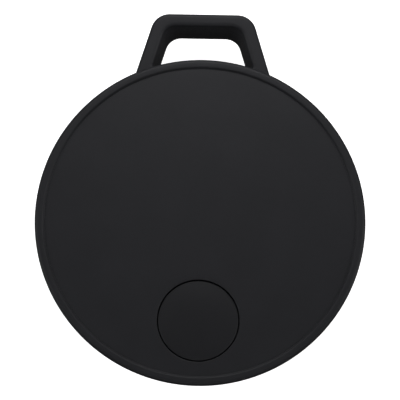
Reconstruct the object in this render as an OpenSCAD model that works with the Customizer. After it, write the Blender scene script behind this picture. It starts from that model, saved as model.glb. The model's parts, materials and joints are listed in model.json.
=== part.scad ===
// Round key-finder tag: a disc case with a keyring loop, a press button in the front plate,
// a coin cell behind a bayonet door, and the board, sounder and contacts inside.
// Rear face on z = 0, front face towards +Z, loop towards +Y. All sizes are in millimetres.

/* [Case] */
// Diameter of the disc across its rim
disc_d = 38; // [37.6:0.2:40]
// Height of the front of the rim above the rear face
rim_h = 8.2; // [8.2:0.1:9]
// Lean of the side wall, narrowing towards the rear, in degrees
wall_draft = 10; // [6:1:12]
// Radius of the rear edge
rear_edge_r = 2.6; // [1.5:0.1:2.8]
// Radius of the outer edge of the rim
rim_edge_r = 0.45; // [0.3:0.05:0.55]

/* [Keyring loop] */
// How far the loop stands out beyond the disc
loop_reach = 5.55; // [5:0.05:6.5]
// Width of the loop across its top, measured to the sharp corners
loop_top_w = 11.1; // [10:0.1:12]
// Lean of the two legs from the middle line, in degrees
loop_lean = 17.3; // [14:0.1:20]
// Thickness of the loop from its rear face to its front face
loop_depth = 4.8; // [4:0.1:5]
// Width of the top bar on the front face
loop_bar = 1.4; // [1.2:0.05:1.6]
// Width of each leg on the front face
loop_leg = 1.55; // [1.3:0.05:1.7]
// How much further in the opening's wall stands at the rear than at the front
loop_taper = 0.66; // [0.4:0.02:0.8]

/* [Front plate] */
// Width of the gap between the case and the plate
plate_gap = 0.04; // [0.03:0.01:0.1]
// Height of the plate's middle above its edge
plate_dome = 0.33; // [0.1:0.01:0.5]
// Step down from the rim to the plate's edge
plate_step = 0.25; // [0.15:0.01:0.3]

/* [Button] */
// Diameter of the button cap
button_d = 9.22; // [8.6:0.02:9.3]
// Distance of the button below the middle of the disc
button_offset = 11.5; // [10.9:0.1:11.7]
// Travel of the button
button_travel = 0.25; // [0.15:0.01:0.25]
// Width of the gap round the button cap
button_gap = 0.12; // [0.1:0.02:0.3]

/* [Coin cell] */
// Diameter of the coin cell
cell_d = 20; // [19.8:0.1:20]
// Thickness of the coin cell
cell_h = 3.2; // [2.5, 3.2]

/* [Battery door] */
// Diameter of the battery door
door_d = 23.2; // [23.1:0.1:23.6]
// Turn of the door from locked to open, in degrees
door_turn = 25; // [22:1:30]
// Length of the coin slot
slot_l = 12; // [9:0.5:14]

/* [Circuit board] */
// Thickness of the circuit board
board_t = 0.8; // [0.6:0.1:0.8]
// Diameter of the sounder's brass disc
sounder_d = 20; // [16:0.5:20]

/* [Hidden] */

$fn = 96;
arc_steps = 8;
cut = 1;
slip = 0.02;
sheet = 0.01;

// Outer form of the case
disc_r = disc_d / 2;
disc_y = -loop_reach / 2;
rim_arc_x = disc_r - rim_edge_r;
rim_arc_z = rim_h - rim_edge_r;
wall_top_r = rim_arc_x + rim_edge_r * cos(wall_draft);
wall_top_z = rim_arc_z - rim_edge_r * sin(wall_draft);
wall_low_z = rear_edge_r * (1 - sin(wall_draft));
wall_low_r = wall_top_r - (wall_top_z - wall_low_z) * tan(wall_draft);
rear_arc_x = wall_low_r - rear_edge_r * cos(wall_draft);

// Front plate, its recess and its gasket
recess_wall = 1.14;
recess_r = disc_r - recess_wall;
lip_w = 0.22;
lip_slope = atan(plate_step / lip_w);
lip_edge_r = 0.2;
lip_arc_x = recess_r + lip_w + lip_edge_r * tan(lip_slope / 2);
plate_t = 0.95;
plate_r = recess_r - plate_gap;
plate_edge_z = rim_h - plate_step;
plate_in_z = plate_edge_z - plate_t;
plate_edge_r = 0.08;
dome_steps = 12;
gasket_t = 0.15;
gasket_w = 0.85;
ledge_z = plate_in_z - gasket_t;
ledge_w = 1.06;
cavity_r = recess_r - ledge_w;

// Keyring loop and its opening
loop_top_y = disc_r + loop_reach;
loop_base_y = 15.5;
loop_rear_z = 2.5;
loop_front_z = loop_rear_z + loop_depth;
loop_corner_r = 2.2;
loop_edge = 0.4;
loop_root = 0.4;
loop_root_r = cavity_r + loop_root;
loop_root_high_r = recess_r + lip_w;
loop_root_step_z = ledge_z - loop_root;
loop_half_w = loop_top_w / 2;
opening_corner_r = 1.6;
opening_rear_corner_r = 1.85;
opening_top_y = loop_top_y - loop_bar;
opening_half_w = loop_half_w + loop_bar * tan(loop_lean) - loop_leg / cos(loop_lean);
opening_rear_top_y = opening_top_y - loop_taper;
opening_rear_half_w = opening_half_w + loop_taper * tan(loop_lean) - loop_taper / cos(loop_lean);

// Battery door, its seat in the case and its lugs
door_r = door_d / 2;
door_z = 0.15;
door_t = 0.8;
door_in_z = door_z + door_t;
door_edge_r = 0.2;
ring_section = 0.5;
ring_facets = 32;
ring_inset = 0.35;
ring_r = door_r - ring_inset;
seat_z = door_in_z + ring_section + slip;
seat_t = 0.38;
floor_z = seat_z + seat_t;
door_gap = 0.1;
door_hole_r = door_r + door_gap;
neck_gap = 0.1;
neck_inset = 0.75;
neck_wall = 0.6;
neck_r = door_r - neck_inset;
neck_bore_r = neck_r - neck_wall;
seat_r = neck_r + neck_gap;
lug_gap = 0.05;
lug_t = 0.45;
lug_r = door_r;
lug_span = 22;
lug_z = floor_z + lug_gap;
neck_top_z = lug_z + lug_t;
notch_room = 3;
notch_gap = 0.06;
notch_span = lug_span + notch_room;
notch_r = lug_r + notch_gap;
bayonet_lugs = 3;
slot_w = 1.7;
slot_deep = 0.45;
foam_t = 0.25;
foam_r = 6;

// Coin cell
cell_r = cell_d / 2;
cell_z = door_in_z + foam_t + slip;
cell_top_z = cell_z + cell_h;
can_wall = 0.25;
can_lip_drop = 0.2;
can_top_z = cell_top_z - can_lip_drop;
grommet_w = 0.3;
cap_r = cell_r - can_wall - grommet_w;
cap_wall = 0.25;
cap_skirt = 1.6;
cathode_share = 0.6;
cathode_h = (cell_h - can_wall - cap_wall) * cathode_share;
cell_edge_r = 0.5;

// Circuit board
contact_gap = 0.4;
board_z = cell_top_z + contact_gap;
board_top_z = board_z + board_t;
board_gap = 0.4;
board_r = cavity_r - board_gap;
board_notch_w = 2.4;
board_notch_deep = 0.9;
solder_t = 0.05;

// Screws that hold the board and the inner frame
screw_angles = [60, 180, 300];
screw_circle_r = 14.1;
boss_r = 1.5;
pilot_r = 0.5;
screw_r = 0.5;
screw_head_r = 1.15;
screw_head_h = 0.5;
screw_slot_l = 1.5;
screw_slot_w = 0.35;
screw_slot_deep = 0.2;
screw_hole_r = 0.65;
screw_tip_gap = 0.3;
ear_t = 0.8;
ear_z = board_z - ear_t;

// Inner frame round the cell
frame_gap = 0.15;
frame_wall = 1.5;
frame_z = neck_top_z + frame_gap;
cell_gap = 0.25;
frame_bore_r = cell_r + cell_gap;
frame_r = frame_bore_r + frame_wall;
contact_slot_w = 4;
slot_back = 0.25;

// Battery contacts
strip_t = 0.15;
positive_w = 3;
positive_drop = 1.9;
positive_foot_l = 1.3;
negative_w = 1.2;
negative_l = 4.4;
negative_base_l = 1.6;
negative_pitch = 2.4;

// Button cap and its pad
button_r = button_d / 2;
button_hole_r = button_r + button_gap;
button_y = -button_offset;
button_rise = 0.1;
button_edge_z = plate_edge_z + button_rise;
button_crown = 0.22;
button_crown_power = 2.6;
button_edge_r = 0.15;
flange_w = 0.35;
flange_r = button_hole_r + flange_w;
flange_t = 0.35;
flange_gap = 0.03;
flange_top_z = plate_in_z - flange_gap;
flange_z = flange_top_z - flange_t;
pad_r = 1.5;
pad_t = 0.15;
pad_z = flange_z - pad_t;

// Push switch under the button
switch_w = 4.5;
switch_cover_t = 0.08;
press_room = 0.05;
switch_top_z = pad_z - button_travel - press_room;
switch_body_top_z = switch_top_z - switch_cover_t;
switch_bore_r = 1.1;
switch_cover_bore_r = 0.85;
cover_w = 3.9;
plunger_r = 0.75;
plunger_foot_r = 1;
plunger_foot_t = 0.08;
plunger_z = board_top_z + button_travel + press_room;
plunger_top_z = pad_z - slip;
dome_sheet_t = 0.03;
dome_r = 1;
tab_w = 0.7;
tab_l = 0.6;
tab_t = 0.15;

// Sounder bonded behind the front plate
sounder_r = sounder_d / 2;
sounder_y = 4.5;
brass_t = 0.2;
ceramic_t = 0.2;
ceramic_share = 0.7;
ceramic_r = sounder_r * ceramic_share;
adhesive_t = 0.05;
adhesive_w = 2;
brass_z = plate_in_z - adhesive_t - brass_t;
ceramic_z = brass_z - ceramic_t;
spring_w = 0.9;
spring_l = 2.2;
spring_t = 0.1;
spring_foot_l = 0.75;
spring_tip_l = 0.75;
ceramic_contact_at = [3.2, 8];
brass_contact_at = [-9.6, 4.9];

// Parts soldered on the board: size, then place from the middle of the disc
chip_size = [5, 5, 0.55];
chip_at = [-1.5, 2];
chip_pads = 8;
chip_pad_size = [0.28, 0.3, 0.06];
chip_pad_pitch = 0.5;
main_crystal_size = [2.5, 2, 0.5];
main_crystal_at = [-6.4, 3.4];
clock_crystal_size = [3.2, 1.5, 0.6];
clock_crystal_at = [-6.6, 0];
antenna_size = [7, 2, 0.8];
antenna_angle = 112;
antenna_circle_r = 13.6;
driver_size = [3, 3, 0.55];
driver_at = [5.4, -2.6];
boost_size = [3, 3, 0.8];
boost_at = [6, 2.2];
bulk_size = [3.2, 2.5, 0.8];
bulk_at = [10.4, -0.4];
capacitor_size = [1, 0.5, 0.5];
capacitors_at = [
    [-5, -2], [-3.4, -2], [-1.8, -2], [-0.2, -2],
    [1.4, -2], [2.6, 4.6], [2.6, 3.4], [8.6, -3.6]
];
resistor_size = [1, 0.5, 0.35];
resistors_at = [[-5, -3.4], [-3.4, -3.4], [-1.8, -3.4], [2.6, 2.2], [2.6, 1], [-4.6, -10.4]];
matching_size = [1, 0.5, 0.45];
matching_at = [[-2.6, 10.6], [-1.2, 10.6], [-1.2, 9.4]];
end_cap_share = 0.22;
end_cap_proud = 0.02;

// Colours
case_black = [0.15, 0.15, 0.16];
gasket_grey = [0.25, 0.25, 0.27];
button_black = [0.14, 0.14, 0.15];
silicone_white = [0.78, 0.78, 0.74];
frame_white = [0.82, 0.82, 0.8];
screw_silver = [0.72, 0.72, 0.74];
board_green = [0.05, 0.32, 0.16];
chip_black = [0.1, 0.1, 0.11];
crystal_silver = [0.79, 0.78, 0.74];
ceramic_white = [0.88, 0.86, 0.8];
inductor_blue = [0.35, 0.5, 0.6];
ferrite_grey = [0.3, 0.3, 0.32];
capacitor_tan = [0.72, 0.57, 0.38];
steel_silver = [0.8, 0.8, 0.81];
plunger_grey = [0.2, 0.2, 0.2];
brass_yellow = [0.8, 0.62, 0.25];
contact_gold = [0.83, 0.7, 0.4];
pellet_black = [0.08, 0.08, 0.08];
lithium_grey = [0.6, 0.6, 0.62];

function arc(x, y, r, from, to, steps = arc_steps) =
    [for (i = [0:steps]) let (a = from + (to - from) * i / steps) [x + r * cos(a), y + r * sin(a)]];

// A crowned surface: height falls with a power of the radius
function crown(r, edge_z, rise, power = 2, steps = dome_steps) =
    [for (i = [0:steps]) let (x = r * (1 - i / steps)) [x, edge_z + rise * (1 - pow(x / r, power))]];

// Outline of the loop or of its opening: two leaning sides and two round top corners
function loop_outline(half_w, top_y, base_y, corner_r) =
    let (
        inset = corner_r / tan((90 + loop_lean) / 2),
        base_w = half_w + (top_y - base_y) * tan(loop_lean)
    )
    concat(
        [[base_w, base_y]],
        arc(half_w - inset, top_y - corner_r, corner_r, loop_lean, 90),
        arc(inset - half_w, top_y - corner_r, corner_r, 90, 180 - loop_lean),
        [[-base_w, base_y]]
    );

module on_disc() {
    translate([0, disc_y, 0]) children();
}

module on_button() {
    on_disc() translate([0, button_y, 0]) children();
}

module on_sounder() {
    on_disc() translate([0, sounder_y, 0]) children();
}

module at_screws() {
    for (a = screw_angles) rotate(a) translate([screw_circle_r, 0, 0]) children();
}

module tube(outer, inner, h) {
    difference() {
        cylinder(r = outer, h = h);
        translate([0, 0, -cut]) cylinder(r = inner, h = h + 2 * cut);
    }
}

// A slice of a ring, centred on the X axis
module ring_sector(outer, inner, h, span) {
    rotate(-span / 2) rotate_extrude(angle = span)
        translate([inner, 0]) square([outer - inner, h]);
}

module block(size) {
    translate([-size[0] / 2, -size[1] / 2, 0]) cube(size);
}

// A small two-ended part: a body with a slightly proud end cap at each end
module end_capped(size) {
    cap_l = size[0] * end_cap_share;
    block([size[0] - 2 * cap_l, size[1] - 2 * end_cap_proud, size[2] - end_cap_proud]);
    for (side = [-1, 1])
        translate([side * (size[0] - cap_l) / 2, 0, 0]) block([cap_l, size[1], size[2]]);
}

module on_board(places, size) {
    for (p = places) translate([p[0], p[1], board_top_z + solder_t]) end_capped(size);
}

module loop_blank() {
    inner_w = loop_half_w - loop_edge;
    hull() {
        translate([0, 0, loop_rear_z + loop_edge]) linear_extrude(loop_depth - 2 * loop_edge)
            polygon(loop_outline(loop_half_w, loop_top_y, loop_base_y, loop_corner_r));
        translate([0, 0, loop_rear_z]) linear_extrude(loop_depth)
            polygon(loop_outline(inner_w, loop_top_y - loop_edge, loop_base_y, loop_corner_r));
    }
}

module loop_opening() {
    hull() {
        translate([0, 0, loop_front_z]) linear_extrude(sheet)
            polygon(loop_outline(opening_half_w, opening_top_y, 0, opening_corner_r));
        translate([0, 0, loop_rear_z - sheet]) linear_extrude(sheet)
            polygon(loop_outline(opening_rear_half_w, opening_rear_top_y, 0, opening_rear_corner_r));
    }
}

module keyring_loop() {
    difference() {
        loop_blank();
        loop_opening();
        cylinder(r = loop_root_r, h = rim_h);
        translate([0, 0, loop_root_step_z]) cylinder(r = loop_root_high_r, h = rim_h);
    }
}

// Section of the case wall from the door seat round the outside to the cavity
module case_section() {
    polygon(concat(
        [[seat_r, floor_z], [seat_r, seat_z], [door_hole_r, seat_z], [door_hole_r, 0]],
        arc(rear_arc_x, rear_edge_r, rear_edge_r, -90, -wall_draft),
        arc(rim_arc_x, rim_arc_z, rim_edge_r, -wall_draft, 90),
        arc(lip_arc_x, rim_h - lip_edge_r, lip_edge_r, 90, 90 + lip_slope),
        [[recess_r, plate_edge_z], [recess_r, ledge_z], [cavity_r, ledge_z], [cavity_r, floor_z]]
    ));
}

module screw_boss() {
    difference() {
        cylinder(r = boss_r, h = ear_z - floor_z + sheet);
        translate([0, 0, sheet]) cylinder(r = pilot_r, h = ear_z);
    }
}

module rear_shell() {
    color(case_black) on_disc() {
        difference() {
            rotate_extrude() case_section();
            for (i = [0:bayonet_lugs - 1])
                rotate(i * 360 / bayonet_lugs + door_turn) translate([0, 0, seat_z - cut])
                    ring_sector(notch_r, seat_r - sheet, seat_t + 2 * cut, notch_span);
        }
        keyring_loop();
        translate([0, 0, floor_z - sheet]) at_screws() screw_boss();
    }
}

module front_plate() {
    color(case_black) difference() {
        on_disc() rotate_extrude() polygon(concat(
            [[0, plate_in_z], [plate_r, plate_in_z]],
            arc(plate_r - plate_edge_r, plate_edge_z - plate_edge_r, plate_edge_r, 0, 90),
            crown(plate_r - plate_edge_r, plate_edge_z, plate_dome)
        ));
        on_button() translate([0, 0, plate_in_z - cut])
            cylinder(r = button_hole_r, h = plate_t + plate_dome + 2 * cut);
    }
}

module plate_gasket() {
    color(gasket_grey) on_disc() translate([0, 0, ledge_z])
        tube(cavity_r + gasket_w, cavity_r, gasket_t);
}

module button_cap() {
    color(button_black) on_button() rotate_extrude() polygon(concat(
        [[0, flange_z], [flange_r, flange_z], [flange_r, flange_top_z], [button_r, flange_top_z]],
        arc(button_r - button_edge_r, button_edge_z - button_edge_r, button_edge_r, 0, 90),
        crown(button_r - button_edge_r, button_edge_z, button_crown, button_crown_power)
    ));
}

module button_pad() {
    color(silicone_white) on_button() translate([0, 0, pad_z]) cylinder(r = pad_r, h = pad_t);
}

module inner_frame() {
    color(frame_white) on_disc() difference() {
        union() {
            translate([0, 0, frame_z]) cylinder(r = frame_r, h = board_z - frame_z);
            for (a = screw_angles) rotate(a) translate([0, 0, ear_z]) {
                translate([screw_circle_r, 0, 0]) cylinder(r = boss_r, h = ear_t);
                translate([frame_bore_r, -boss_r, 0])
                    cube([screw_circle_r - frame_bore_r, 2 * boss_r, ear_t]);
            }
        }
        translate([0, 0, frame_z - cut]) cylinder(r = frame_bore_r, h = board_z - frame_z + 2 * cut);
        translate([0, -contact_slot_w / 2, frame_z - cut])
            cube([frame_r - slot_back, contact_slot_w, board_z - frame_z + 2 * cut]);
        at_screws() translate([0, 0, ear_z - cut]) cylinder(r = screw_hole_r, h = ear_t + 2 * cut);
    }
}

module board_screw() {
    shank_l = board_top_z - floor_z - screw_tip_gap;
    translate([0, 0, board_top_z - shank_l]) cylinder(r = screw_r, h = shank_l);
    translate([0, 0, board_top_z]) difference() {
        cylinder(r = screw_head_r, h = screw_head_h);
        for (turn = [0, 90]) rotate(turn) translate([0, 0, screw_head_h - screw_slot_deep])
            block([screw_slot_l, screw_slot_w, screw_slot_deep + cut]);
    }
}

module board_screws() {
    color(screw_silver) on_disc() at_screws() board_screw();
}

module circuit_board() {
    color(board_green) on_disc() difference() {
        translate([0, 0, board_z]) cylinder(r = board_r, h = board_t);
        at_screws() translate([0, 0, board_z - cut]) cylinder(r = screw_hole_r, h = board_t + 2 * cut);
        translate([board_r - board_notch_deep, -board_notch_w / 2, board_z - cut])
            cube([board_notch_deep + cut, board_notch_w, board_t + 2 * cut]);
    }
}

module bluetooth_chip() {
    pad_y = (chip_size[1] - chip_pad_size[1]) / 2;
    pad_x = -(chip_pads - 1) / 2 * chip_pad_pitch;
    color(chip_black) on_disc() translate([chip_at[0], chip_at[1], board_top_z]) {
        translate([0, 0, solder_t]) block(chip_size);
        for (side = [0:90:270]) rotate(side)
            for (i = [0:chip_pads - 1]) translate([pad_x + i * chip_pad_pitch, pad_y, 0])
                block(chip_pad_size);
    }
}

module main_crystal() {
    color(crystal_silver) on_disc() on_board([main_crystal_at], main_crystal_size);
}

module clock_crystal() {
    color(crystal_silver) on_disc() on_board([clock_crystal_at], clock_crystal_size);
}

module chip_antenna() {
    color(ceramic_white) on_disc() rotate(antenna_angle)
        translate([antenna_circle_r, 0, board_top_z + solder_t]) rotate(90) end_capped(antenna_size);
}

module antenna_inductors() {
    color(inductor_blue) on_disc() on_board(matching_at, matching_size);
}

module sounder_driver() {
    color(chip_black) on_disc() on_board([driver_at], driver_size);
}

module boost_inductor() {
    color(ferrite_grey) on_disc() on_board([boost_at], boost_size);
}

module bulk_capacitor() {
    color(capacitor_tan) on_disc() on_board([bulk_at], bulk_size);
}

module chip_capacitors() {
    color(capacitor_tan) on_disc() on_board(capacitors_at, capacitor_size);
}

module chip_resistors() {
    color(chip_black) on_disc() on_board(resistors_at, resistor_size);
}

module switch_body() {
    body_h = switch_body_top_z - board_top_z;
    color(chip_black) on_button() translate([0, 0, board_top_z]) {
        difference() {
            block([switch_w, switch_w, body_h]);
            translate([0, 0, -cut]) cylinder(r = switch_bore_r, h = body_h + 2 * cut);
        }
        for (x = [-1, 1], y = [-1, 1])
            translate([x * (switch_w + tab_l) / 2, y * (switch_w / 2 - tab_w), 0])
                block([tab_l, tab_w, tab_t]);
    }
}

module switch_dome() {
    rise = plunger_z - board_top_z - dome_sheet_t - slip;
    outer = crown(dome_r, dome_sheet_t, rise);
    inner = [for (i = [len(outer) - 1:-1:0]) [outer[i][0], outer[i][1] - dome_sheet_t]];
    color(steel_silver) on_button() translate([0, 0, board_top_z]) rotate_extrude()
        polygon(concat(outer, inner));
}

module switch_cover() {
    color(steel_silver) on_button() translate([0, 0, switch_body_top_z]) difference() {
        block([cover_w, cover_w, switch_cover_t]);
        translate([0, 0, -cut]) cylinder(r = switch_cover_bore_r, h = switch_cover_t + 2 * cut);
    }
}

module switch_plunger() {
    color(plunger_grey) on_button() {
        translate([0, 0, plunger_z]) cylinder(r = plunger_foot_r, h = plunger_foot_t);
        translate([0, 0, plunger_z]) cylinder(r = plunger_r, h = plunger_top_z - plunger_z);
    }
}

module sounder_brass_disc() {
    color(brass_yellow) on_sounder() translate([0, 0, brass_z]) cylinder(r = sounder_r, h = brass_t);
}

module sounder_ceramic_disc() {
    color(ceramic_white) on_sounder() translate([0, 0, ceramic_z])
        cylinder(r = ceramic_r, h = ceramic_t);
}

module sounder_adhesive() {
    color(silicone_white) on_sounder() translate([0, 0, brass_z + brass_t])
        tube(sounder_r, sounder_r - adhesive_w, adhesive_t);
}

// A leaf spring: a foot on the board, a rising arm and a flat tip
module leaf_spring(rise) {
    translate([0, spring_w / 2, 0]) rotate([90, 0, 0]) linear_extrude(spring_w) polygon([
        [0, 0], [spring_foot_l + spring_t, 0], [spring_l - spring_tip_l + spring_t, rise - spring_t],
        [spring_l, rise - spring_t], [spring_l, rise], [spring_l - spring_tip_l, rise],
        [spring_foot_l, spring_t], [0, spring_t]
    ]);
}

module sounder_spring_contacts() {
    color(contact_gold) on_disc() {
        translate([ceramic_contact_at[0], ceramic_contact_at[1], board_top_z])
            leaf_spring(ceramic_z - board_top_z);
        translate([brass_contact_at[0], brass_contact_at[1], board_top_z])
            leaf_spring(brass_z - board_top_z);
    }
}

module cell_can() {
    color(steel_silver) on_disc() rotate_extrude() polygon(concat(
        [[0, cell_z]],
        arc(cell_r - cell_edge_r, cell_z + cell_edge_r, cell_edge_r, -90, 0),
        [[cell_r, can_top_z], [cell_r - can_wall, can_top_z], [cell_r - can_wall, cell_z + cell_edge_r],
            [cell_r - cell_edge_r, cell_z + can_wall], [0, cell_z + can_wall]]
    ));
}

module cell_grommet() {
    color(case_black) on_disc() translate([0, 0, can_top_z - cap_skirt])
        tube(cell_r - can_wall, cap_r, cap_skirt);
}

module cell_cap() {
    color(steel_silver) on_disc() rotate_extrude() polygon([
        [0, cell_top_z], [cap_r - cap_wall, cell_top_z], [cap_r, can_top_z], [cap_r, can_top_z - cap_skirt],
        [cap_r - cap_wall, can_top_z - cap_skirt], [cap_r - cap_wall, cell_top_z - cap_wall - can_wall],
        [cap_r - 2 * cap_wall, cell_top_z - cap_wall], [0, cell_top_z - cap_wall]
    ]);
}

module cell_cathode_pellet() {
    color(pellet_black) on_disc() translate([0, 0, cell_z + can_wall])
        cylinder(r = cap_r - 2 * cap_wall, h = cathode_h);
}

module cell_lithium_disc() {
    color(lithium_grey) on_disc() translate([0, 0, cell_z + can_wall + cathode_h])
        cylinder(r = cap_r - 2 * cap_wall, h = cell_h - can_wall - cap_wall - cathode_h);
}

module positive_contact() {
    color(contact_gold) on_disc() translate([cell_r + slip, -positive_w / 2, 0]) {
        translate([0, 0, board_z - positive_drop]) cube([strip_t, positive_w, positive_drop]);
        translate([0, 0, board_z - strip_t]) cube([positive_foot_l, positive_w, strip_t]);
    }
}

// A bent leaf under the board: a flat base and an arm that comes down to the cell
module negative_leaf() {
    drop = contact_gap - slip;
    translate([0, negative_w / 2, board_z]) rotate([90, 0, 0]) linear_extrude(negative_w) polygon([
        [0, 0], [0, -strip_t], [negative_base_l, -strip_t], [negative_l - strip_t, -drop],
        [negative_l, -drop], [negative_l, -drop + strip_t], [negative_base_l + strip_t, 0]
    ]);
}

module negative_contact() {
    color(contact_gold) on_disc() {
        for (side = [-1, 1]) translate([-negative_l / 2, side * negative_pitch / 2, 0]) negative_leaf();
        translate([-negative_l / 2, -negative_pitch / 2, board_z - strip_t])
            cube([negative_base_l / 2, negative_pitch, strip_t]);
    }
}

module door_section() {
    polygon(concat(
        [[0, door_z]],
        arc(door_r - door_edge_r, door_z + door_edge_r, door_edge_r, -90, 0),
        [[door_r, door_in_z], [neck_r, door_in_z], [neck_r, neck_top_z], [neck_bore_r, neck_top_z],
            [neck_bore_r, door_in_z], [0, door_in_z]]
    ));
}

module battery_door() {
    color(case_black) on_disc() difference() {
        union() {
            rotate_extrude() door_section();
            for (i = [0:bayonet_lugs - 1]) rotate(i * 360 / bayonet_lugs) translate([0, 0, lug_z])
                ring_sector(lug_r, neck_r - sheet, lug_t, lug_span);
        }
        translate([0, 0, door_z - cut]) {
            block([slot_l - slot_w, slot_w, cut + slot_deep]);
            for (side = [-1, 1]) translate([side * (slot_l - slot_w) / 2, 0, 0])
                cylinder(d = slot_w, h = cut + slot_deep);
        }
    }
}

module door_o_ring() {
    color(pellet_black) on_disc() translate([0, 0, door_in_z + ring_section / 2])
        rotate_extrude() translate([ring_r, 0]) circle(d = ring_section, $fn = ring_facets);
}

module door_foam_pad() {
    color(ferrite_grey) on_disc() translate([0, 0, door_in_z]) cylinder(r = foam_r, h = foam_t);
}

rear_shell();
front_plate();
plate_gasket();
button_cap();
button_pad();
inner_frame();
board_screws();
circuit_board();
bluetooth_chip();
main_crystal();
clock_crystal();
chip_antenna();
antenna_inductors();
sounder_driver();
boost_inductor();
bulk_capacitor();
chip_capacitors();
chip_resistors();
switch_body();
switch_dome();
switch_cover();
switch_plunger();
sounder_brass_disc();
sounder_ceramic_disc();
sounder_adhesive();
sounder_spring_contacts();
cell_can();
cell_cap();
cell_grommet();
cell_cathode_pellet();
cell_lithium_disc();
positive_contact();
negative_contact();
battery_door();
door_o_ring();
door_foam_pad();
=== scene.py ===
"""Looks of the round tracker tag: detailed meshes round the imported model, materials, light and camera."""
import json
import math

import bmesh
import bpy
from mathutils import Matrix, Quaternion, Vector


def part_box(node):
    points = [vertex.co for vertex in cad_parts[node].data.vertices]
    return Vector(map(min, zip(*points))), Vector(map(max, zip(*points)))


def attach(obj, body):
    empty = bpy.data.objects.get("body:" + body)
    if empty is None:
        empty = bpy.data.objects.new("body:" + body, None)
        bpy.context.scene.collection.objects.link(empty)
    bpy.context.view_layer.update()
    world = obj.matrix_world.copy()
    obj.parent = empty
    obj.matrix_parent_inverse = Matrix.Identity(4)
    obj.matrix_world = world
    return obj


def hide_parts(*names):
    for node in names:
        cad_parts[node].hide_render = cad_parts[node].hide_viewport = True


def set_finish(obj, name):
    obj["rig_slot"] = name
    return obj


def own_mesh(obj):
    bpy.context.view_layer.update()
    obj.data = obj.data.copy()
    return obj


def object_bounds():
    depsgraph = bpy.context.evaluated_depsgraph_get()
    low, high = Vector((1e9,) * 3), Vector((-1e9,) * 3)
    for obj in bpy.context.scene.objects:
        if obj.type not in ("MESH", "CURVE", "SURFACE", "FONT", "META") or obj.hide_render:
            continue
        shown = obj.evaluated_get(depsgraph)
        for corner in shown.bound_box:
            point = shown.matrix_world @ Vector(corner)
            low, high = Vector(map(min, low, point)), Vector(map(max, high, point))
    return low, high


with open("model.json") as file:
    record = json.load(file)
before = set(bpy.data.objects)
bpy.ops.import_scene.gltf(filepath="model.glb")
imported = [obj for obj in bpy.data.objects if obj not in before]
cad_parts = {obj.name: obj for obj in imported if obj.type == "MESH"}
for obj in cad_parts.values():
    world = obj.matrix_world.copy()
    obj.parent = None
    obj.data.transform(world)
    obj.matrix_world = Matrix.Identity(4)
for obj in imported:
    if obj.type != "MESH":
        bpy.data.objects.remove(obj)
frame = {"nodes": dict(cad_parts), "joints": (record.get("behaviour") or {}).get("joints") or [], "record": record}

MM = 0.001
TAU = 2 * math.pi
cad_low, cad_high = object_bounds()

# ---------------------------------------------------------------- sizes, in millimetres

# The disc's axis is the axis that the battery door turns about
door_joint = next(j for j in frame["joints"] if j["name"] == "battery_door_turn")
AXIS = Vector((door_joint["pos_m"][0], door_joint["pos_m"][1], 0)) / MM

SEGMENTS = 256
ARC_STEPS = 8


def extents(node):
    """Lowest and highest corner of a CAD node, in millimetres from the disc's axis."""
    low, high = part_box(node)
    return low / MM - AXIS, high / MM - AXIS


shell_low, shell_high = extents("rear_shell")
plate_low, plate_high = extents("front_plate")
button_low, button_high = extents("button_cap")
door_low, door_high = extents("battery_door")
ring_low, ring_high = extents("door_o_ring")
gasket_low, gasket_high = extents("plate_gasket")
dome_low, dome_high = extents("switch_dome")
frame_high = extents("inner_frame")[1]

DISC_R = min(shell_high.x, -shell_low.x)
RIM_H = shell_high.z
LOOP_TOP_Y = shell_high.y
DRAFT = math.radians(10)
REAR_EDGE = 2.6
RIM_EDGE = 0.45
LIP_EDGE = 0.2
LIP_W = 0.24
LIP_FLAT = 0.05
LIP_FOOT = 0.1
PLATE_STEP = 0.25
PLATE_GAP = 0.008
FITTED_PLATE_GAP = 0.04
RECESS_R = plate_high.x + FITTED_PLATE_GAP
GASKET_W = 0.85
CAVITY_R = gasket_high.x - GASKET_W
LEDGE_Z = gasket_low.z
LEDGE_EDGE = 0.1
FLOOR_FILLET = 0.3
CUT = 0.3

# Battery door, its seat and its lugs; a notch is a little wider than its lug
DOOR_R = door_high.x
DOOR_EDGE = 0.2
DOOR_GAP = 0.1
DOOR_HOLE_R = DOOR_R + DOOR_GAP
DOOR_HOLE_EDGE = 0.12
NECK_INSET = 0.75
NECK_WALL = 0.6
NECK_R = DOOR_R - NECK_INSET
SEAT_R = NECK_R + DOOR_GAP
SEAT_EDGE = 0.06
SLIP = 0.02
SEAT_Z = ring_high.z + SLIP
SEAT_T = 0.38
FLOOR_Z = SEAT_Z + SEAT_T
LUG_GAP = 0.05
LUG_Z = FLOOR_Z + LUG_GAP
LUG_SPAN = 22
LUGS = 3
NOTCH_SPAN = 25.02
NOTCH_GAP = 0.06
NOTCH_OVER = 0.4
SLOT_HALF_L = 5.15
SLOT_R = 0.85
SLOT_DEEP = 0.45
SLOT_EDGE = 0.1

SCREW_ANGLES = (60, 180, 300)
SCREW_CIRCLE_R = 14.1
BOSS_R = 1.5
PILOT_R = 0.5
BOSS_EDGE = 0.1
PILOT_EDGE = 0.05
BOSS_SINK = 0.2
EAR_T = 0.8

PLATE_R = RECESS_R - PLATE_GAP
PLATE_Z = plate_low.z
PLATE_EDGE_Z = RIM_H - PLATE_STEP
PLATE_RISE = plate_high.z - PLATE_EDGE_Z
PLATE_EDGE = 0.03

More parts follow.
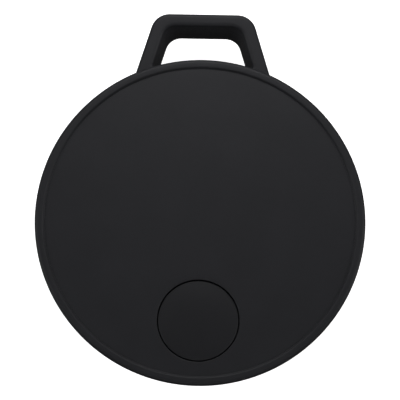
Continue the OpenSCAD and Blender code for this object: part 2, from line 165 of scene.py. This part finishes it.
BUTTON_Y = (button_low.y + button_high.y) / 2
FLANGE_R = button_high.x
FLANGE_W = 0.35
FLANGE_EDGE = 0.05
BUTTON_GAP = 0.12
BUTTON_HOLE_R = FLANGE_R - FLANGE_W
BUTTON_R = BUTTON_HOLE_R - BUTTON_GAP
BUTTON_RISE = 0.1
BUTTON_EDGE_Z = PLATE_EDGE_Z + BUTTON_RISE
BUTTON_EDGE = 0.13
BUTTON_CROWN_POWER = 2.6
BUTTON_HUB_SHARE = 1 / 64
HOLE_EDGE = 0.05
FLANGE_GAP = 0.03
FLANGE_TOP_Z = PLATE_Z - FLANGE_GAP
DOME_SHEET = 0.03
DOME_HUB_SHARE = 0.02

LOOP_REAR_Z = 2.5
LOOP_FRONT_Z = 7.3
LOOP_HALF_W = 5.55
LOOP_LEAN = math.radians(17.3)
LOOP_CORNER = 2.2
LOOP_EDGE = 0.42
OPENING_CORNER = 1.6
OPENING_REAR_CORNER = 1.85
LOOP_BAR = 1.4
LOOP_LEG = 1.55
LOOP_TAPER = 0.66
LOOP_ROOT_Y = 16.1
LOOP_ROOTS = (7.9, 5.3)
LOOP_SINK = 0.02
BLEND_OUT = 1.1
BLEND_IN = 0.5
INNER_ROOT = 0.3
OUTER_ROOT = 0.05
ROOT_STEP = 0.4


# ---------------------------------------------------------------- outlines

def rounded(corners, steps=ARC_STEPS):
    """A closed outline from (x, y, radius) corners, each corner with a radius turned into an arc."""
    points = []
    count = len(corners)
    for i, (x, y, radius) in enumerate(corners):
        corner = Vector((x, y))
        if not radius:
            points.append((x, y))
            continue
        before = (Vector(corners[i - 1][:2]) - corner).normalized()
        after = (Vector(corners[(i + 1) % count][:2]) - corner).normalized()
        half = before.angle(after) / 2
        centre = corner + (before + after).normalized() * (radius / math.sin(half))
        start = corner + before * (radius / math.tan(half)) - centre
        end = corner + after * (radius / math.tan(half)) - centre
        turn = start.angle_signed(end)
        for k in range(steps + 1):
            a = -turn * k / steps
            c, s = math.cos(a), math.sin(a)
            points.append((centre.x + start.x * c - start.y * s, centre.y + start.x * s + start.y * c))
    return points


def circle(x, y, r, z, count=SEGMENTS):
    """A ring of points; z is a height or a function of x and y."""
    ring = []
    for i in range(count):
        a = TAU * i / count
        px, py = x + r * math.cos(a), y + r * math.sin(a)
        ring.append((px, py, z(px, py) if callable(z) else z))
    return ring


def stadium(half_length, r, z, count=SEGMENTS):
    """A slot outline with round ends, its points evenly spaced from the +X end."""
    straight, cap = 2 * half_length, math.pi * r
    total = 2 * (straight + cap)
    ring = []
    for i in range(count):
        s = (total * i / count + cap / 2) % total
        if s < cap:
            a = s / r - math.pi / 2
            ring.append((half_length + r * math.cos(a), r * math.sin(a), z))
        elif s < cap + straight:
            ring.append((half_length - (s - cap), r, z))
        elif s < 2 * cap + straight:
            a = (s - cap - straight) / r + math.pi / 2
            ring.append((-half_length + r * math.cos(a), r * math.sin(a), z))
        else:
            ring.append((-half_length + (s - 2 * cap - straight), -r, z))
    return ring


def between(first, second, share):
    """The ring that lies that share of the way from one ring to another."""
    return [tuple(Vector(p).lerp(Vector(q), share)) for p, q in zip(first, second)]


def quarter(steps=ARC_STEPS):
    """(sine, 1 - cosine) pairs of a quarter turn."""
    return [(math.sin(a), 1 - math.cos(a)) for a in (math.pi / 2 * k / steps for k in range(steps + 1))]


# ---------------------------------------------------------------- meshes

def make_object(name, points, faces):
    """A mesh object from millimetre points about the disc's axis."""
    mesh = bpy.data.meshes.new(name)
    mesh.from_pydata([(Vector(p) + AXIS) * MM for p in points], [], faces)
    obj = bpy.data.objects.new(name, mesh)
    bpy.context.scene.collection.objects.link(obj)
    tidy_mesh(obj)
    return obj


def tidy_mesh(obj):
    bm = bmesh.new()
    bm.from_mesh(obj.data)
    bmesh.ops.remove_doubles(bm, verts=bm.verts, dist=1e-7)
    bmesh.ops.recalc_face_normals(bm, faces=bm.faces)
    bm.to_mesh(obj.data)
    bm.free()


def smooth(obj, angle=40):
    """Smooth shading that keeps edges sharper than the angle."""
    obj.data.shade_smooth()
    obj.data.set_sharp_from_angle(angle=math.radians(angle))
    even = obj.modifiers.new("even_normals", "WEIGHTED_NORMAL")
    even.keep_sharp = True
    return obj


def loft(name, rings, closed=False):
    """A skin over rings of equal point counts: closed on itself, or capped at both ends."""
    count = len(rings[0])
    points = [p for ring in rings for p in ring]
    faces = []
    last = len(rings) if closed else len(rings) - 1
    for i in range(last):
        a, b = i * count, (i + 1) % len(rings) * count
        for k in range(count):
            n = (k + 1) % count
            faces.append((a + k, a + n, b + n, b + k))
    if not closed:
        faces.append(tuple(range(count)))
        faces.append(tuple(range(len(points) - count, len(points))))
    return make_object(name, points, faces)


def sector(name, inner, outer, low, high, middle, span, steps=16):
    """A block that is a slice of a ring, its angles in degrees."""
    section = ((inner, low), (outer, low), (outer, high), (inner, high))
    rings = []
    for k in range(steps + 1):
        a = math.radians(middle - span / 2 + span * k / steps)
        c, s = math.cos(a), math.sin(a)
        rings.append([(r * c, r * s, z) for r, z in section])
    return loft(name, rings)


def combine(obj, other, operation):
    """Joins or cuts with another mesh, which is then removed."""
    step = obj.modifiers.new("combine", "BOOLEAN")
    step.operation = operation
    step.solver = "EXACT"
    step.object = other
    made = bpy.data.meshes.new_from_object(obj.evaluated_get(bpy.context.evaluated_depsgraph_get()))
    obj.modifiers.clear()
    obj.data = made
    bpy.data.objects.remove(other)
    tidy_mesh(obj)


# ---------------------------------------------------------------- case with its loop

def wall_radius(z):
    """Radius of the drafted outer wall at a height."""
    rim_x = DISC_R - RIM_EDGE
    top_z = RIM_H - RIM_EDGE * (1 + math.sin(DRAFT))
    return rim_x + RIM_EDGE * math.cos(DRAFT) - (top_z - z) * math.tan(DRAFT)


def case_profile():
    return rounded([
        (DOOR_HOLE_R, 0, DOOR_HOLE_EDGE),
        (wall_radius(0), 0, REAR_EDGE),
        (wall_radius(RIM_H), RIM_H, RIM_EDGE),
        (RECESS_R + LIP_W, RIM_H, LIP_EDGE),
        (RECESS_R + LIP_FLAT, RIM_H - PLATE_STEP, LIP_FOOT),
        (RECESS_R, RIM_H - PLATE_STEP, 0),
        (RECESS_R, LEDGE_Z, 0),
        (CAVITY_R, LEDGE_Z, LEDGE_EDGE),
        (CAVITY_R, FLOOR_Z, FLOOR_FILLET),
        (SEAT_R, FLOOR_Z, SEAT_EDGE),
        (SEAT_R, SEAT_Z, SEAT_EDGE),
        (DOOR_HOLE_R, SEAT_Z, 0),
    ])


def spun(name, profile, x=0, y=0):
    """A closed profile of (radius, height) spun into a ring."""
    return loft(name, [circle(x, y, r, z) for r, z in profile], closed=True)


def blend_arc(half_w, top_y, wall, radius, outward, steps=ARC_STEPS):
    """Points of the concave arc between a leaning leg and the round wall, from the leg to the wall."""
    normal = Vector((math.cos(LOOP_LEAN), math.sin(LOOP_LEAN))) * outward
    down = Vector((math.sin(LOOP_LEAN), -math.cos(LOOP_LEAN)))
    start = Vector((half_w, top_y)) + normal * radius
    b = start.dot(down)
    reach = -b - math.sqrt(b * b - start.length_squared + (wall + radius) ** 2)
    centre = start + down * reach
    first = -normal * radius
    last = -centre.normalized() * radius
    turn = math.atan2(first.x * last.y - first.y * last.x, first.dot(last))
    points = []
    for k in range(steps + 1):
        a = turn * k / steps
        c, s = math.cos(a), math.sin(a)
        points.append(centre + Vector((first.x * c - first.y * s, first.x * s + first.y * c)))
    return points


def loop_line(half_w, top_y, corner, wall, blend, outward, root_x):
    """One outline of the loop from its right root, up the leg, over the top and down to the left root."""
    inset = corner / math.tan((math.pi / 2 + LOOP_LEAN) / 2)
    centre = Vector((half_w - inset, top_y - corner))
    foot = list(reversed(blend_arc(half_w, top_y, wall, blend, outward)))
    turns = [LOOP_LEAN + (math.pi / 2 - LOOP_LEAN) * k / (2 * ARC_STEPS) for k in range(2 * ARC_STEPS + 1)]
    shoulder = [centre + Vector((math.cos(a), math.sin(a))) * corner for a in turns]
    leg = [foot[-1].lerp(shoulder[0], k / 8) for k in range(1, 8)]
    bar = [Vector((shoulder[-1].x * (1 - k / 6), top_y)) for k in range(1, 6)]
    right = [Vector((root_x, LOOP_ROOT_Y)), *foot, *leg, *shoulder, *bar]
    left = [Vector((-p.x, p.y)) for p in reversed(right)]
    return right + [Vector((0, top_y))] + left


def loop_levels():
    """(height, inward step of the edge) from the rear face to the front face of the loop."""
    low = [(LOOP_REAR_Z + LOOP_EDGE * u, LOOP_EDGE * (1 - v)) for v, u in quarter()]
    high = [(LOOP_FRONT_Z - LOOP_EDGE * u, LOOP_EDGE * (1 - v)) for v, u in reversed(quarter())]
    middle = [(LOOP_REAR_Z + (LOOP_FRONT_Z - LOOP_REAR_Z) * k / 6, 0) for k in range(1, 6)]
    return low + middle + high


def keyring_loop():
    """The loop as one arched bar, its edges rounded and its legs flared into the case wall."""
    lean_tan, lean_cos = math.tan(LOOP_LEAN), math.cos(LOOP_LEAN)
    opening_half_w = LOOP_HALF_W + LOOP_BAR * lean_tan - LOOP_LEG / lean_cos
    opening_top_y = LOOP_TOP_Y - LOOP_BAR
    outer, inner = [], []
    for z, step in loop_levels():
        wall = wall_radius(z) - LOOP_SINK
        half_w = LOOP_HALF_W + step * lean_tan - step / lean_cos
        flare = BLEND_OUT + step
        line = loop_line(half_w, LOOP_TOP_Y - step, LOOP_CORNER - step, wall, flare, 1, LOOP_ROOTS[0])
        outer.append([(p.x, p.y, z) for p in line])
        depth = (LOOP_FRONT_Z - z) / (LOOP_FRONT_Z - LOOP_REAR_Z)
        grow = step - LOOP_TAPER * depth
        corner = OPENING_CORNER + (OPENING_REAR_CORNER - OPENING_CORNER) * depth + step
        half_w = opening_half_w - grow * lean_tan + grow / lean_cos
        line = loop_line(half_w, opening_top_y + grow, corner, wall, BLEND_IN, -1, LOOP_ROOTS[1])
        inner.append([(p.x, p.y, z) for p in line])
    around = outer + list(reversed(inner))
    stations = [[line[i] for line in around] for i in range(len(around[0]))]
    loop = loft("keyring_loop", stations)
    low_r = CAVITY_R + INNER_ROOT
    high_r = RECESS_R + LIP_W + OUTER_ROOT
    step_z = LEDGE_Z - ROOT_STEP
    inside = [(low_r, 0), (low_r, step_z), (high_r, step_z), (high_r, RIM_H + 1)]
    combine(loop, loft("inside", [circle(0, 0, r, z) for r, z in inside]), "DIFFERENCE")
    return loop


def case_shell():
    case = spun("case_shell", case_profile())
    combine(case, keyring_loop(), "UNION")
    for i in range(LUGS):
        middle = 360 * i / LUGS + door_joint["range_deg"][1]
        low, high = SEAT_Z - CUT, FLOOR_Z + NOTCH_OVER
        notch = sector("notch", SEAT_R - CUT, DOOR_R + NOTCH_GAP, low, high, middle, NOTCH_SPAN)
        combine(case, notch, "DIFFERENCE")
    foot, top = FLOOR_Z - BOSS_SINK, frame_high.z - EAR_T
    section = rounded([
        (PILOT_R, foot, 0),
        (BOSS_R, foot, 0),
        (BOSS_R, top, BOSS_EDGE),
        (PILOT_R, top, PILOT_EDGE),
    ])
    for a in map(math.radians, SCREW_ANGLES):
        boss = spun("boss", section, SCREW_CIRCLE_R * math.cos(a), SCREW_CIRCLE_R * math.sin(a))
        combine(case, boss, "UNION")
    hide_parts("rear_shell")
    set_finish(case, "shell_plastic")
    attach(case, "case")
    return smooth(case)


# ---------------------------------------------------------------- front plate and button

def plate_height(x, y):
    """Height of the plate's crowned face."""
    face_r = PLATE_R - PLATE_EDGE
    return PLATE_EDGE_Z + PLATE_RISE * (1 - min(1, (x * x + y * y) / face_r ** 2))


def front_plate():
    rings = [circle(0, BUTTON_Y, BUTTON_HOLE_R, PLATE_Z)]
    for s, c in quarter(5):
        drop = HOLE_EDGE * (1 - s)
        r = BUTTON_HOLE_R + HOLE_EDGE * c
        rings.append(circle(0, BUTTON_Y, r, lambda x, y, drop=drop: plate_height(x, y) - drop))
    face_r = PLATE_R - PLATE_EDGE
    steps = 24
    for k in range(1, steps):
        t = k / steps
        r = BUTTON_HOLE_R + HOLE_EDGE + (face_r - BUTTON_HOLE_R - HOLE_EDGE) * t
        rings.append(circle(0, BUTTON_Y * (1 - t), r, plate_height))
    for s, c in quarter():
        rings.append(circle(0, 0, face_r + PLATE_EDGE * s, PLATE_EDGE_Z - PLATE_EDGE * c))
    rings.append(circle(0, 0, PLATE_R, PLATE_Z))
    plate = loft("face_plate", rings, closed=True)
    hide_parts("front_plate")
    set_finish(plate, "plate_plastic")
    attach(plate, "case")
    return smooth(plate)


def button_cap():
    crown = button_high.z - BUTTON_EDGE_Z
    face_r = BUTTON_R - BUTTON_EDGE
    flange = [
        (FLANGE_R - FLANGE_EDGE, button_low.z),
        (FLANGE_R, button_low.z + FLANGE_EDGE),
        (FLANGE_R, FLANGE_TOP_Z - FLANGE_EDGE),
        (FLANGE_R - FLANGE_EDGE, FLANGE_TOP_Z),
        (BUTTON_R, FLANGE_TOP_Z),
    ]
    rings = [circle(0, BUTTON_Y, r, z) for r, z in flange]
    for s, c in reversed(quarter()):
        rings.append(circle(0, BUTTON_Y, face_r + BUTTON_EDGE * s, BUTTON_EDGE_Z - BUTTON_EDGE * c))
    steps = 16
    for k in range(1, steps):
        share = 1 - k / steps
        height = BUTTON_EDGE_Z + crown * (1 - share ** BUTTON_CROWN_POWER)
        rings.append(circle(0, BUTTON_Y, face_r * share, height))
    rings.append(circle(0, BUTTON_Y, face_r * BUTTON_HUB_SHARE, BUTTON_EDGE_Z + crown))
    button = loft("press_button", rings)
    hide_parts("button_cap")
    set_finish(button, "button_plastic")
    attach(button, "button")
    return smooth(button)


def snap_dome():
    """The push switch's snap dome, in its rest shape."""
    rise = dome_high.z - dome_low.z - DOME_SHEET
    steps = 12
    shares = [DOME_HUB_SHARE] + [k / steps for k in range(1, steps + 1)]
    under = [(dome_high.x * share, dome_low.z + rise * (1 - share ** 2)) for share in shares]
    over = [(r, z + DOME_SHEET) for r, z in under]
    rings = [circle(0, BUTTON_Y, r, z, SEGMENTS // 4) for r, z in over + under[::-1]]
    dome = loft("snap_dome", rings)
    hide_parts("switch_dome")
    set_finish(dome, "switch_steel")
    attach(dome, "case")
    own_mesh(dome)
    return smooth(dome)


# ---------------------------------------------------------------- battery door

def battery_door():
    """The door with its coin slot in the rear face, and its neck with the bayonet lugs."""
    face_z, slot_z = door_low.z, door_low.z + SLOT_DEEP
    floor_r, lip_r = SLOT_R - SLOT_EDGE, DOOR_R - DOOR_EDGE
    rings = [stadium(SLOT_HALF_L, floor_r, slot_z)]
    for s, c in quarter(4):
        rings.append(stadium(SLOT_HALF_L, floor_r + SLOT_EDGE * s, slot_z - SLOT_EDGE * c))
    for s, c in quarter(4):
        rings.append(stadium(SLOT_HALF_L, SLOT_R + SLOT_EDGE * c, face_z + SLOT_EDGE * (1 - s)))
    lip = circle(0, 0, lip_r, face_z)
    mouth = rings[-1]
    steps = 10
    for k in range(1, steps):
        rings.append(between(mouth, lip, k / steps))
    for s, c in quarter():
        rings.append(circle(0, 0, lip_r + DOOR_EDGE * s, face_z + DOOR_EDGE * c))
    inner_z, neck_z = ring_low.z, door_high.z
    bore_r = NECK_R - NECK_WALL
    neck = [(DOOR_R, inner_z), (NECK_R, inner_z), (NECK_R, neck_z), (bore_r, neck_z), (bore_r, inner_z)]
    rings += [circle(0, 0, r, z) for r, z in neck]
    door = loft("twist_door", rings)
    for i in range(LUGS):
        lug = sector("lug", NECK_R - CUT, DOOR_R, LUG_Z, neck_z, 360 * i / LUGS, LUG_SPAN)
        combine(door, lug, "UNION")
    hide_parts("battery_door")
    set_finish(door, "door_plastic")
    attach(door, "door")
    return smooth(door)


# ---------------------------------------------------------------- materials

# The span that most of a noise texture's values lie in
NOISE_LOW = 0.3
NOISE_HIGH = 0.7


class Paint:
    """A material under construction: adds nodes and joins them up."""

    def __init__(self, name, colour, roughness, **sockets):
        self.material = bpy.data.materials.new(name)
        self.material.use_nodes = True
        self.tree = self.material.node_tree
        self.shader = self.tree.nodes["Principled BSDF"]
        self.set("Base Color", (*colour, 1))
        self.set("Roughness", roughness)
        for socket, value in sockets.items():
            self.set(socket.replace("_", " ").title().replace("Ior", "IOR"), value)
        self.place = self.tree.nodes.new("ShaderNodeTexCoord").outputs["Object"]

    def set(self, socket, value):
        self.shader.inputs[socket].default_value = value

    def link(self, output, target):
        self.tree.links.new(output, target)

    def noise(self, size, detail=3, stretch=None):
        """Noise with features of about that size in millimetres."""
        node = self.tree.nodes.new("ShaderNodeTexNoise")
        node.inputs["Scale"].default_value = 1 / (size * MM)
        node.inputs["Detail"].default_value = detail
        place = self.place
        if stretch:
            scaled = self.tree.nodes.new("ShaderNodeMapping")
            scaled.inputs["Scale"].default_value = stretch
            self.link(place, scaled.inputs["Vector"])
            place = scaled.outputs["Vector"]
        self.link(place, node.inputs["Vector"])
        return node.outputs["Fac"]

    def spread(self, value, low, high, start=NOISE_LOW, end=NOISE_HIGH):
        """A value from 0 to 1 spread over a range."""
        node = self.tree.nodes.new("ShaderNodeMapRange")
        for socket, number in (("From Min", start), ("From Max", end), ("To Min", low), ("To Max", high)):
            node.inputs[socket].default_value = number
        self.link(value, node.inputs["Value"])
        return node.outputs["Result"]

    def tint(self, value, dark, light):
        """Colours between two tones, chosen by a value."""
        node = self.tree.nodes.new("ShaderNodeValToRGB")
        node.color_ramp.elements[0].position = NOISE_LOW
        node.color_ramp.elements[1].position = NOISE_HIGH
        node.color_ramp.elements[0].color = (*dark, 1)
        node.color_ramp.elements[1].color = (*light, 1)
        self.link(value, node.inputs["Fac"])
        self.link(node.outputs["Color"], self.shader.inputs["Base Color"])
        return self

    def rough(self, value, low, high):
        self.link(self.spread(value, low, high), self.shader.inputs["Roughness"])
        return self

    def bump(self, *layers):
        """Bump from (value, height in micrometres) layers."""
        normal = None
        for value, height in layers:
            node = self.tree.nodes.new("ShaderNodeBump")
            node.inputs["Distance"].default_value = height * 1e-6
            self.link(value, node.inputs["Height"])
            if normal:
                self.link(normal, node.inputs["Normal"])
            normal = node.outputs["Normal"]
        self.link(normal, self.shader.inputs["Normal"])
        return self


def shade(colour, factor):
    return tuple(min(1, c * factor) for c in colour)


def moulded(name, colour, roughness, grain=0.11, height=3.0, specular=0.3):
    """Matte moulded plastic with a fine spark-eroded grain and a faint mottle."""
    paint = Paint(name, colour, roughness, specular_ior_level=specular)
    fine, broad, patch = paint.noise(grain, 2), paint.noise(grain * 4, 3), paint.noise(5, 2)
    paint.tint(patch, shade(colour, 0.93), shade(colour, 1.07))
    paint.rough(broad, roughness - 0.04, roughness + 0.04)
    return paint.bump((fine, height), (broad, height * 0.8)).material


def rubber(name, colour, roughness=0.8):
    paint = Paint(name, colour, roughness, specular_ior_level=0.3)
    paint.tint(paint.noise(0.6), shade(colour, 0.85), shade(colour, 1.15))
    paint.rough(paint.noise(0.25), roughness - 0.08, roughness + 0.08)
    return paint.bump((paint.noise(0.08), 5)).material


def metal(name, colour, roughness, stretch=None):
    """Plated or rolled metal; a stretch draws its fine lines out along an axis."""
    paint = Paint(name, colour, roughness, metallic=1)
    lines = paint.noise(0.12, 4, stretch)
    paint.tint(paint.noise(1.5), shade(colour, 0.9), shade(colour, 1.06))
    paint.rough(lines, roughness - 0.07, roughness + 0.1)
    return paint.bump((lines, 1.5)).material


def ceramic(name, colour, roughness=0.45):
    paint = Paint(name, colour, roughness)
    paint.tint(paint.noise(0.15, 4), shade(colour, 0.85), shade(colour, 1.12))
    paint.rough(paint.noise(0.3), roughness - 0.08, roughness + 0.08)
    return paint.bump((paint.noise(0.05), 3)).material


def board_laminate(name, colour):
    """Solder mask over tracks: thin raised lines between cells, lighter where copper lies under."""
    paint = Paint(name, colour, 0.35)
    cells = paint.tree.nodes.new("ShaderNodeTexVoronoi")
    cells.feature = "DISTANCE_TO_EDGE"
    cells.distance = "EUCLIDEAN"
    cells.inputs["Scale"].default_value = 1 / (2.2 * MM)
    cells.inputs["Randomness"].default_value = 0.45
    paint.link(paint.place, cells.inputs["Vector"])
    tracks = paint.spread(cells.outputs["Distance"], 1, 0, 0.05, 0.09)
    paint.tint(tracks, colour, shade(colour, 1.8))
    paint.rough(paint.noise(0.4), 0.3, 0.42)
    return paint.bump((tracks, 30), (paint.noise(0.2), 3)).material


def pressed_foam(name, colour):
    paint = Paint(name, colour, 0.9, specular_ior_level=0.2)
    cells = paint.tree.nodes.new("ShaderNodeTexVoronoi")
    cells.inputs["Scale"].default_value = 1 / (0.18 * MM)
    paint.link(paint.place, cells.inputs["Vector"])
    paint.tint(cells.outputs["Distance"], shade(colour, 0.5), shade(colour, 1.3))
    return paint.bump((cells.outputs["Distance"], 40)).material


BLACK = (0.0163, 0.0166, 0.0196)
BUTTON_BLACK = shade(BLACK, 0.76)


def make_materials():
    return {
        "shell_plastic": moulded("shell_plastic", BLACK, 0.55),
        "plate_plastic": moulded("plate_plastic", BLACK, 0.55),
        "button_plastic": moulded("button_plastic", BUTTON_BLACK, 0.52, grain=0.09, height=2.4),
        "door_plastic": moulded("door_plastic", BLACK, 0.55),
        "bonding_gasket": rubber("bonding_gasket", (0.03, 0.03, 0.033)),
        "silicone": rubber("silicone", (0.6, 0.6, 0.57), 0.5),
        "frame_plastic": moulded("frame_plastic", (0.6, 0.6, 0.56), 0.5, specular=0.5),
        "screw_steel": metal("screw_steel", (0.6, 0.6, 0.62), 0.3, (1, 1, 4)),
        "board_laminate": board_laminate("board_laminate", (0.012, 0.12, 0.045)),
        "chip_epoxy": moulded("chip_epoxy", (0.02, 0.02, 0.021), 0.6, grain=0.05, specular=0.5),
        "crystal_metal": metal("crystal_metal", (0.66, 0.63, 0.55), 0.32, (1, 6, 1)),
        "antenna_ceramic": ceramic("antenna_ceramic", (0.75, 0.72, 0.64)),
        "inductor_ceramic": ceramic("inductor_ceramic", (0.18, 0.3, 0.4)),
        "inductor_ferrite": ceramic("inductor_ferrite", (0.07, 0.07, 0.075), 0.6),
        "capacitor_ceramic": ceramic("capacitor_ceramic", (0.45, 0.3, 0.17)),
        "resistor_ceramic": ceramic("resistor_ceramic", (0.02, 0.02, 0.022), 0.35),
        "switch_plastic": moulded("switch_plastic", (0.025, 0.025, 0.025), 0.5, grain=0.06, specular=0.5),
        "switch_steel": metal("switch_steel", (0.65, 0.65, 0.66), 0.28, (8, 1, 1)),
        "sounder_brass": metal("sounder_brass", (0.75, 0.53, 0.2), 0.3, (1, 9, 1)),
        "sounder_ceramic": ceramic("sounder_ceramic", (0.72, 0.7, 0.62)),
        "adhesive": rubber("adhesive", (0.6, 0.6, 0.55), 0.6),
        "contact_gold": metal("contact_gold", (0.83, 0.66, 0.3), 0.25, (1, 7, 1)),
        "cell_steel": metal("cell_steel", (0.66, 0.66, 0.67), 0.24, (1, 1, 7)),
        "cell_grommet": rubber("cell_grommet", (0.02, 0.02, 0.02), 0.5),
        "cell_pellet": ceramic("cell_pellet", (0.015, 0.015, 0.015), 0.85),
        "cell_lithium": metal("cell_lithium", (0.5, 0.5, 0.52), 0.5),
        "seal_rubber": rubber("seal_rubber", (0.012, 0.012, 0.012), 0.45),
        "foam": pressed_foam("foam", (0.05, 0.05, 0.055)),
    }


def paint_all(pieces):
    """Gives each new piece and each carried-over CAD node the material of its slot."""
    materials = make_materials()
    for piece in pieces:
        piece.data.materials.clear()
        piece.data.materials.append(materials[piece["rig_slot"]])
    for part in frame["record"]["subparts"]:
        node = frame["nodes"][part["node"]]
        for place in node.material_slots:
            place.material = materials[part["material_slot"]]


# ---------------------------------------------------------------- stage

FLOOR_TONE = (0.9, 0.9, 0.9)
FLOOR_GLOW = 1.0
FLOOR_DROP = 0.01
FLOOR_HUB = 0.01
FLOOR_R = 1000
FLOOR_BEND = 300
WALL_H = 1500
ROOM_HIGH = 0.01
ROOM_LOW = 0.08
HORIZON = 0.1
LIGHTS_AIM = (0, 0, 0.005)
# Name, place, width, height and power of each soft box, in metres and watts
SOFT_BOXES = [
    ("left_low", (-0.48, 0, 0.13), 0.15, 0.4, 0.38),
    ("right_low", (0.48, 0, 0.13), 0.15, 0.4, 0.42),
    ("left_high", (-0.38, 0, 0.32), 0.25, 0.4, 0.38),
    ("right_high", (0.38, 0, 0.32), 0.25, 0.4, 0.43),
    ("front_high", (0, -0.38, 0.32), 0.4, 0.25, 0.36),
    ("rear_low", (0, 0.47, 0.17), 0.4, 0.2, 0.36),
    ("rear_near", (0, 0.075, 0.08), 0.06, 0.03, 0.039),
]


def floor():
    """A pale sweep that curves up into walls. Only the camera sees it, so it neither lights nor shades."""
    profile = [(FLOOR_HUB, 0), (FLOOR_R, 0)]
    profile += [(FLOOR_R + FLOOR_BEND * s, FLOOR_BEND * c) for s, c in quarter()]
    profile.append((FLOOR_R + FLOOR_BEND, WALL_H))
    rings = [circle(0, 0, r, z) for r, z in profile]
    base = cad_low.z / MM - FLOOR_DROP
    points = [(x, y, z + base) for ring in rings for x, y, z in ring]
    faces = [tuple(range(SEGMENTS))]
    for i in range(len(rings) - 1):
        for k in range(SEGMENTS):
            a, b = i * SEGMENTS + k, i * SEGMENTS + (k + 1) % SEGMENTS
            faces.append((a, b, b + SEGMENTS, a + SEGMENTS))
    sweep = make_object("floor", points, faces)
    sweep.data.shade_smooth()
    sweep.visible_glossy = sweep.visible_diffuse = sweep.visible_shadow = False
    paint = Paint("floor_paint", FLOOR_TONE, 0.8, specular_ior_level=0.1)
    paint.tint(paint.noise(40), shade(FLOOR_TONE, 0.995), FLOOR_TONE)
    paint.set("Emission Color", (1, 1, 1, 1))
    paint.set("Emission Strength", FLOOR_GLOW)
    sweep.data.materials.append(paint.material)


def area_light(name, place, width, height, power):
    """A soft box that faces the object."""
    data = bpy.data.lights.new(name, "AREA")
    data.shape = "RECTANGLE"
    data.size, data.size_y = width, height
    data.energy = power
    obj = bpy.data.objects.new(name, data)
    bpy.context.scene.collection.objects.link(obj)
    obj.location = place
    obj.visible_camera = False
    obj.rotation_mode = "QUATERNION"
    obj.rotation_quaternion = (Vector(LIGHTS_AIM) - Vector(place)).to_track_quat("-Z", "Y")


def lighting():
    """A dim room that is darker below the object, and soft boxes round it."""
    world = bpy.data.worlds.new("studio")
    bpy.context.scene.world = world
    world.use_nodes = True
    nodes, links = world.node_tree.nodes, world.node_tree.links
    direction = nodes.new("ShaderNodeTexCoord").outputs["Generated"]
    parts = nodes.new("ShaderNodeSeparateXYZ")
    links.new(direction, parts.inputs["Vector"])
    strength = nodes.new("ShaderNodeMapRange")
    levels = {"From Min": -HORIZON, "From Max": HORIZON, "To Min": ROOM_LOW, "To Max": ROOM_HIGH}
    for socket, value in levels.items():
        strength.inputs[socket].default_value = value
    links.new(parts.outputs["Z"], strength.inputs["Value"])
    background = nodes["Background"]
    background.inputs["Color"].default_value = (1, 1, 1, 1)
    links.new(strength.outputs["Result"], background.inputs["Strength"])
    for name, place, width, height, power in SOFT_BOXES:
        area_light(name, place, width, height, power)


CAMERA_ELEVATION = 79.85
CAMERA_AZIMUTH = 0.9
CAMERA_ROLL = 0.13
CAMERA_DISTANCE = 0.5
VIEW_WIDTH = 46.25 * MM
SENSOR = 36.0
AIM = Vector((-0.06, 0.347, 4.6)) * MM


def camera():
    data = bpy.data.cameras.new("camera")
    obj = bpy.data.objects.new("camera", data)
    bpy.context.scene.collection.objects.link(obj)
    data.sensor_width = SENSOR
    data.lens = SENSOR * CAMERA_DISTANCE / VIEW_WIDTH
    a, e = math.radians(CAMERA_AZIMUTH), math.radians(CAMERA_ELEVATION)
    back = Vector((math.sin(a) * math.cos(e), -math.cos(a) * math.cos(e), math.sin(e)))
    obj.rotation_mode = "QUATERNION"
    obj.location = AIM + back * CAMERA_DISTANCE
    roll = Quaternion((0, 0, 1), math.radians(CAMERA_ROLL))
    obj.rotation_quaternion = (-back).to_track_quat("-Z", "Y") @ roll
    data.clip_start, data.clip_end = 0.01, 20
    bpy.context.scene.camera = obj


display = bpy.context.scene.view_settings
display.view_transform = "Standard"
display.look = "None"
display.exposure = 0.0

paint_all([case_shell(), front_plate(), button_cap(), snap_dome(), battery_door()])
floor()
lighting()
camera()
